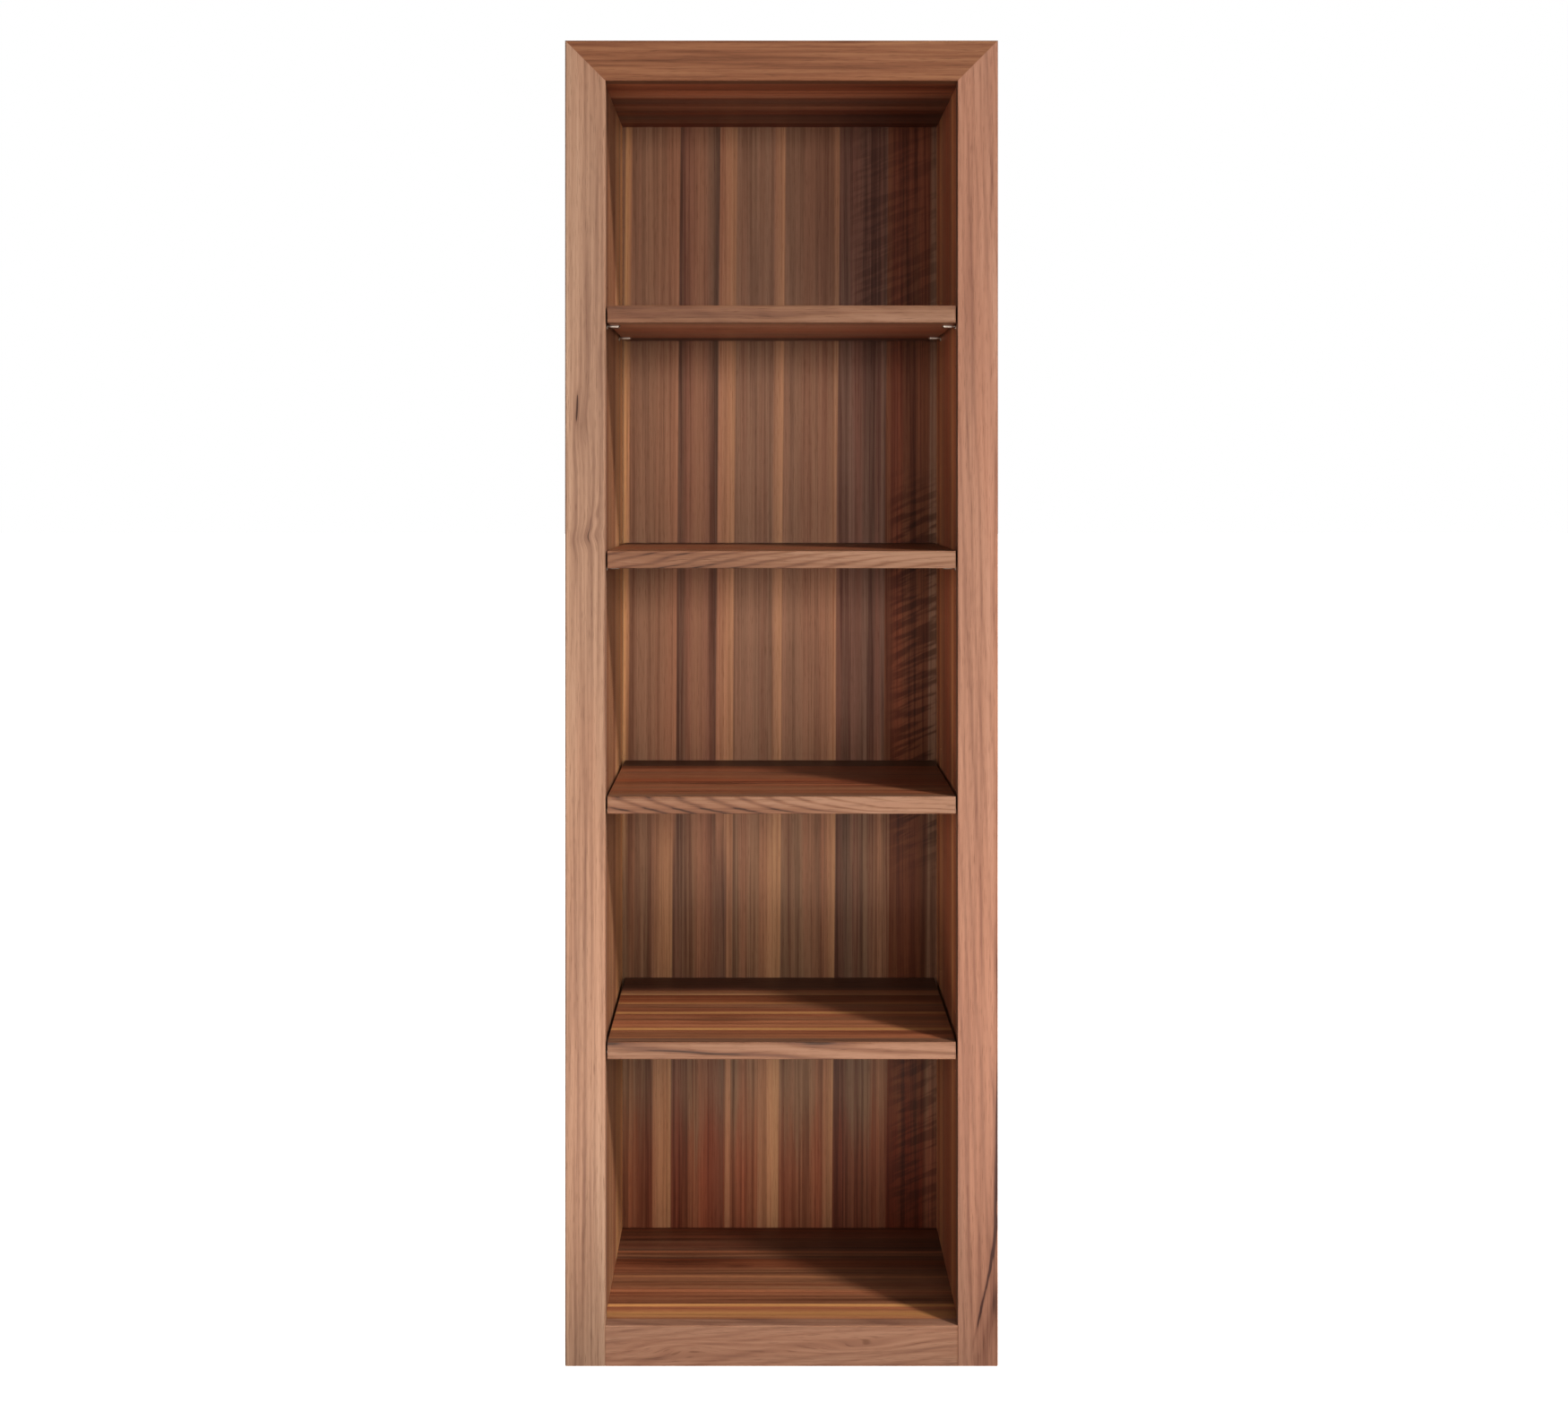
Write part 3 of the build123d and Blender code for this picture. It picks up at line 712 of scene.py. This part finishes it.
def plated_metal(name, colour, roughness, scratch):
    """Plated metal, a little uneven in gloss, with fine handling marks."""
    material = bpy.data.materials.new(name)
    material.use_nodes = True
    shader = material.node_tree.nodes["Principled BSDF"]
    shader.inputs["Metallic"].default_value = 1.0
    place = Wire(material.node_tree).node("ShaderNodeTexCoord", {}, {}, output="Object")
    mottle = place.cloud((700, 700, 700), (0, 0, 0), 3)
    marks = place.cloud((260, 2600, 2600), (3, 0, 0), 1).rise(0.5, 0.7)
    stops = [(0.3, colour), (0.75, tuple(channel * 0.82 for channel in colour))]
    tone = mottle.node("ShaderNodeValToRGB", {"stops": stops}, {0: mottle})
    dull = roughness + mottle * 0.16 + marks * scratch
    height = mottle * 0.4 + marks
    bump = height.node("ShaderNodeBump", {}, {"Strength": 0.12, "Distance": 0.0001, "Height": height})
    material.node_tree.links.new(tone.socket, shader.inputs["Base Color"])
    material.node_tree.links.new(dull.socket, shader.inputs["Roughness"])
    material.node_tree.links.new(bump.socket, shader.inputs["Normal"])
    return material


nickel = plated_metal("bright_nickel", (0.58, 0.55, 0.51), 0.3, 0.12)

# A pin is drawn along its own line: the wall at 0, the spoon to plus, the shank to minus
spoon_pin = Fitting("spoon_pin", ("Wall", "Way", "Column", "Seat"))
bar_end = pin_spoon_reach - pin_spoon_radius
lengthwise = (0, math.pi / 2, 0)
bar = spoon_pin.node(
    "GeometryNodeMeshCylinder", {"fill_type": "NGON"},
    {"Vertices": 32, "Radius": pin_spoon_radius, "Depth": bar_end - pin_neck_length},
)
bar = spoon_pin.moved(
    bar, Rotation=lengthwise, Translation=((bar_end + pin_neck_length) / 2, 0, 0)
)
neck = spoon_pin.node(
    "GeometryNodeMeshCone", {"fill_type": "NGON"},
    {
        "Vertices": 32, "Radius Top": pin_spoon_radius * 0.9, "Radius Bottom": pin_neck_radius,
        "Depth": pin_neck_length + pin_neck_overlap,
    },
)
neck = spoon_pin.moved(neck, Rotation=lengthwise)
nose = spoon_pin.node(
    "GeometryNodeMeshUVSphere", {},
    {"Segments": 32, "Rings": 16, "Radius": pin_spoon_radius * pin_nose_share},
)
nose = spoon_pin.moved(nose, Rotation=lengthwise, Translation=(bar_end, 0, 0))
collar = spoon_pin.node(
    "GeometryNodeMeshCylinder", {"fill_type": "NGON"},
    {"Vertices": 32, "Radius": pin_collar_radius, "Depth": pin_collar_thickness},
)
collar = spoon_pin.moved(
    collar, Rotation=lengthwise, Translation=(pin_collar_thickness / 2, 0, -pin_drop)
)

# The lower half is kept: a block whose top lies just under the pin's line takes the rest away
block_size = (0.06, 0.02, 0.02)
block_middle = 0.028
block = spoon_pin.node("GeometryNodeMeshCube", {}, {"Size": block_size})
block_drop = block_size[2] / 2 + pin_flat_below
block = spoon_pin.moved(block, Translation=(block_middle, 0, -block_drop))
rounded = spoon_pin.node(
    "GeometryNodeMeshBoolean", {"operation": "UNION", "solver": "EXACT"}, {1: bar}
)
union = rounded.socket.node
for shape in (neck, nose, collar):
    spoon_pin.tree.links.new(shape.socket, union.inputs[1])
halved = spoon_pin.node(
    "GeometryNodeMeshBoolean", {"operation": "INTERSECT", "solver": "EXACT"}, {1: rounded}
)
spoon_pin.tree.links.new(block.socket, halved.socket.node.inputs[1])
shank = spoon_pin.node(
    "GeometryNodeMeshCylinder", {"fill_type": "NGON"},
    {"Vertices": 24, "Radius": pin_shank_radius, "Depth": pin_shank_length},
)
shank = spoon_pin.moved(
    shank, Rotation=lengthwise, Translation=(-pin_shank_length / 2, 0, -pin_drop)
)
whole = spoon_pin.joined(halved, shank)
size = spoon_pin.given
whole = spoon_pin.moved(
    whole, Rotation=spoon_pin.place(z=size["Way"]),
    Translation=spoon_pin.place(size["Wall"], size["Column"], size["Seat"]),
)
spoon_pin.end(whole, nickel)

for number in range(1, len(shelf_lips) + 1):
    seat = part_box(f"shelf_{number}_panel")[0][2]
    for column in ("front", "rear"):
        for hand in ("left", "right"):
            node = f"shelf_{number}_pin_{column}_{hand}"
            low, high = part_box(node)
            values = {
                "Wall": low[0] + pin_shank_length if hand == "left" else high[0] - pin_shank_length,
                "Way": 0.0 if hand == "left" else math.pi,
                "Column": (low[1] + high[1]) / 2,
                "Seat": seat,
            }
            pin = spoon_pin.make(f"{node}_nickel", values)
            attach(pin, node)
            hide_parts(node)


# ---- Back screws ----
# Zinc-plated countersunk wood screws, cross-recessed, that fix the back panel to the case
# sides, the soffit and the deck, and two pan-headed ones that hold the anti-tip bracket.

screw_shank_radius = 0.00175
screw_head_radius = 0.0035
screw_core_radius = screw_shank_radius * 0.7
screw_point_radius = 0.0002
screw_pitch = 0.0016
threaded_share = 0.75
recess_length = 0.0036
recess_width = 0.0008
recess_depth = 0.0024
zinc = plated_metal("zinc_plate", (0.62, 0.62, 0.6), 0.3, 0.15)

wood_screw = Fitting("wood_screw", ("Length", "Head under", "Head over", "Head height", "Rise"))
size = wood_screw.given
head = wood_screw.node(
    "GeometryNodeMeshCone", {"fill_type": "NGON"},
    {
        "Vertices": 32, "Radius Top": size["Head over"], "Radius Bottom": size["Head under"],
        "Depth": size["Head height"],
    },
)
head = wood_screw.moved(head, Translation=wood_screw.place(z=size["Rise"] - size["Head height"]))
head_top = wood_screw.place(z=size["Rise"])
arm_size = (recess_length, recess_width, recess_depth)
arm = wood_screw.node("GeometryNodeMeshCube", {}, {"Size": arm_size})
arm = wood_screw.moved(arm, Translation=head_top)
arm_size = (recess_width, recess_length, recess_depth)
other_arm = wood_screw.node("GeometryNodeMeshCube", {}, {"Size": arm_size})
other_arm = wood_screw.moved(other_arm, Translation=head_top)
recessed = wood_screw.node(
    "GeometryNodeMeshBoolean", {"operation": "DIFFERENCE", "solver": "EXACT"}, {0: head, 1: arm}
)
wood_screw.tree.links.new(other_arm.socket, recessed.socket.node.inputs[1])
screw_shank = wood_screw.node(
    "GeometryNodeMeshCone", {"fill_type": "NGON"},
    {
        "Vertices": 16, "Radius Top": screw_core_radius, "Radius Bottom": screw_point_radius,
        "Depth": size["Length"],
    },
)
screw_shank = wood_screw.moved(screw_shank, Translation=wood_screw.place(z=size["Length"] * -1))
thread_line = wood_screw.node(
    "GeometryNodeCurveSpiral", {},
    {
        "Resolution": 12, "Rotations": size["Length"] * (threaded_share / screw_pitch),
        "Start Radius": screw_shank_radius * 0.3, "End Radius": screw_shank_radius * 0.78,
        "Height": size["Length"] * threaded_share,
    },
)
thread_line = wood_screw.moved(thread_line, Translation=wood_screw.place(z=size["Length"] * -0.98))
thread_edge = wood_screw.node(
    "GeometryNodeCurvePrimitiveCircle", {}, {"Resolution": 4, "Radius": screw_shank_radius * 0.2}
)
thread = wood_screw.node(
    "GeometryNodeCurveToMesh", {}, {"Curve": thread_line, "Profile Curve": thread_edge, "Fill Caps": True}
)
wood_screw.end(wood_screw.joined(recessed, screw_shank, thread), zinc)
countersunk = wood_screw.make(
    "countersunk_pattern",
    {
        "Length": 0.028, "Head under": screw_core_radius, "Head over": screw_head_radius,
        "Head height": 0.0018, "Rise": 0.0,
    },
)
pan_headed = wood_screw.make(
    "pan_headed_pattern",
    {
        "Length": 0.025, "Head under": screw_head_radius, "Head over": screw_head_radius * 0.82,
        "Head height": 0.002, "Rise": 0.002,
    },
)

# A row of screws, evenly spaced between two places on a face, each turned its own way
row_sizes = ("From X", "From Z", "To X", "To Z", "Face", "Count")
screw_line = Fitting("screw_line", row_sizes, takes="Screw")
size = screw_line.given
start = screw_line.place(size["From X"], size["Face"], size["From Z"])
finish = screw_line.place(size["To X"], size["Face"], size["To Z"])
points = screw_line.node(
    "GeometryNodeMeshLine", {"mode": "END_POINTS"},
    {"Count": size["Count"], "Start Location": start, "Offset": finish},
)
pattern = screw_line.node("GeometryNodeObjectInfo", {}, {"Object": size["Screw"]}, output="Geometry")
driven = screw_line.node(
    "GeometryNodeInstanceOnPoints", {},
    {"Points": points, "Instance": pattern, "Rotation": (-math.pi / 2, 0, 0)},
)
spin = screw_line.node(
    "FunctionNodeRandomValue", {"data_type": "FLOAT"}, {"Min": 0.0, "Max": math.pi, "Seed": 7}, 1
)
driven = screw_line.node(
    "GeometryNodeRotateInstances", {}, {"Instances": driven, "Rotation": screw_line.place(z=spin)}
)
screw_line.end(driven, zinc)

low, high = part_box("back_screws")
row_inset = 0.06
panel_thickness = 0.018
bracket_thickness = 0.0015
bracket_screw_inset = 0.01
side_x = high[0] - screw_head_radius
side_low = 0.07
side_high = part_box("soffit")[0][2] - row_inset
row_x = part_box("soffit")[1][0] - panel_thickness - row_inset
row_low = low[2] + screw_head_radius
row_high = high[2] - screw_head_radius
back_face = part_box("back_panel")[1][1]
bracket_low, bracket_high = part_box("anti_tip_bracket")
bracket_x = bracket_high[0] - bracket_screw_inset
bracket_z = (bracket_low[2] + bracket_high[2]) / 2
bracket_face = back_face + bracket_thickness
rows = (
    ("back_screws_left", countersunk, (-side_x, side_low, -side_x, side_high, back_face, 7.0)),
    ("back_screws_right", countersunk, (side_x, side_low, side_x, side_high, back_face, 7.0)),
    ("back_screws_top", countersunk, (-row_x, row_high, row_x, row_high, back_face, 4.0)),
    ("back_screws_bottom", countersunk, (-row_x, row_low, row_x, row_low, back_face, 4.0)),
    (
        "bracket_screws_pair", pan_headed,
        (-bracket_x, bracket_z, bracket_x, bracket_z, bracket_face, 2.0),
    ),
)
for name, screw, sizes in rows:
    node = name.rsplit("_", 1)[0]
    screws = screw_line.make(name, {**dict(zip(row_sizes, sizes)), "Screw": screw})
    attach(screws, "case")
    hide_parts(node)
for screw in (countersunk, pan_headed):
    bpy.data.objects.remove(screw)


# ---- Anti-tip bracket ----
# A pressed steel saddle behind the soffit; a strap to the wall passes under its bridge.

dress("anti_tip_bracket", zinc)


# ---- Floor, light and camera ----
# A pale studio floor under one soft key light from the upper right. Three broad fills stand in
# front, two low lamps give the light that the floor would bounce, and one fills the rear. The
# case is seen square on from a standing height, through a lens shifted down to take in its foot.

floor_reach = 40
pale = (0.86, 0.86, 0.86, 1)
white = (1, 1, 1, 1)
floor_corners = [
    (-floor_reach, -floor_reach, 0), (floor_reach, -floor_reach, 0),
    (floor_reach, floor_reach, 0), (-floor_reach, floor_reach, 0),
]
floor_mesh = bpy.data.meshes.new("studio_floor")
floor_mesh.from_pydata(floor_corners, [], [(0, 1, 2, 3)])
floor = bpy.data.objects.new("studio_floor", floor_mesh)
bpy.context.scene.collection.objects.link(floor)
floor_paint = bpy.data.materials.new("pale_floor_paint")
floor_paint.use_nodes = True
floor_shader = floor_paint.node_tree.nodes["Principled BSDF"]
floor_shader.inputs["Base Color"].default_value = pale
floor_shader.inputs["Roughness"].default_value = 0.7
floor_shader.inputs["Specular IOR Level"].default_value = 0.1
floor_shader.inputs["Emission Color"].default_value = white
floor_shader.inputs["Emission Strength"].default_value = 0.85
floor_mesh.materials.append(floor_paint)
floor.visible_diffuse = False
floor.visible_glossy = False


def lamp(name, kind, energy, place, aim, color, glossy=True, **settings):
    """A studio lamp at a place, aimed at a point; one that isn't glossy leaves no highlight."""
    data = bpy.data.lights.new(name, kind)
    data.energy = energy
    data.color = color
    for setting, value in settings.items():
        setattr(data, setting, value)
    made = bpy.data.objects.new(name, data)
    made.location = place
    direction = Vector(aim) - Vector(place)
    made.rotation_euler = direction.to_track_quat("-Z", "Y").to_euler()
    made.visible_glossy = glossy
    bpy.context.scene.collection.objects.link(made)


warm = (1, 0.97, 0.94)
mild = (1, 0.98, 0.96)
near_floor = (1, 0.9, 0.82)
far_floor = (1, 0.92, 0.86)
sun_breadth = math.radians(7)
lamp("key_lamp", "SUN", 3.7, (2.93, -2.345, 4.4), (0, 0, 1.1), warm, angle=sun_breadth)

# Each soft box: its watts, place, aim, width, height, colour, and whether it leaves a highlight
soft_boxes = {
    "front_fill": (122, (0.45, -4.6, 2.0), (0, 0, 1.3), 2.4, 1.3, mild, False),
    "right_fill": (86, (3.1, -3.5, 2.0), (0, 0, 1.2), 1.6, 1.6, mild, False),
    "left_fill": (48, (-3.1, -3.5, 2.0), (0, 0, 1.2), 1.6, 1.6, mild, True),
    "near_bounce": (30, (0, -1.15, 0.05), (0, -1.1, 1.3), 2.6, 0.9, near_floor, True),
    "far_bounce": (27, (0, -2.8, 0.05), (0, 0, 1.3), 3.4, 1.6, far_floor, True),
    "rear_fill": (210, (-2.2, 3.9, 1.9), (0, 0, 1.1), 2.4, 1.8, mild, False),
}
for name, (watts, place, aim, width, height, color, glossy) in soft_boxes.items():
    lamp(
        name, "AREA", watts, place, aim, color, glossy,
        shape="RECTANGLE", size=width, size_y=height,
    )

# The surround looks white to the camera, and lights the case only a little
surround_light = 0.04
world = bpy.data.worlds.new("studio_surround")
world.use_nodes = True
surround = world.node_tree.nodes["Background"]
seen = Wire(world.node_tree).node("ShaderNodeLightPath", {}, {}, output="Is Camera Ray")
strength = seen * (1 - surround_light) + surround_light
world.node_tree.links.new(strength.socket, surround.inputs["Strength"])
surround.inputs["Color"].default_value = white
bpy.context.scene.world = world
bpy.context.scene.view_settings.view_transform = "Standard"
bpy.context.scene.view_settings.gamma = 0.8

eye_height = 1.4257
camera_data = bpy.data.cameras.new("camera")
camera_data.sensor_width = 36
camera_data.lens = 36.94
camera_data.shift_x = 0.0129
camera_data.shift_y = -0.1436
camera = bpy.data.objects.new("camera", camera_data)
camera.location = (-0.0286, -2.7672, eye_height)
camera.rotation_euler = (math.pi / 2, 0, 0)
bpy.context.scene.collection.objects.link(camera)
bpy.context.scene.camera = camera
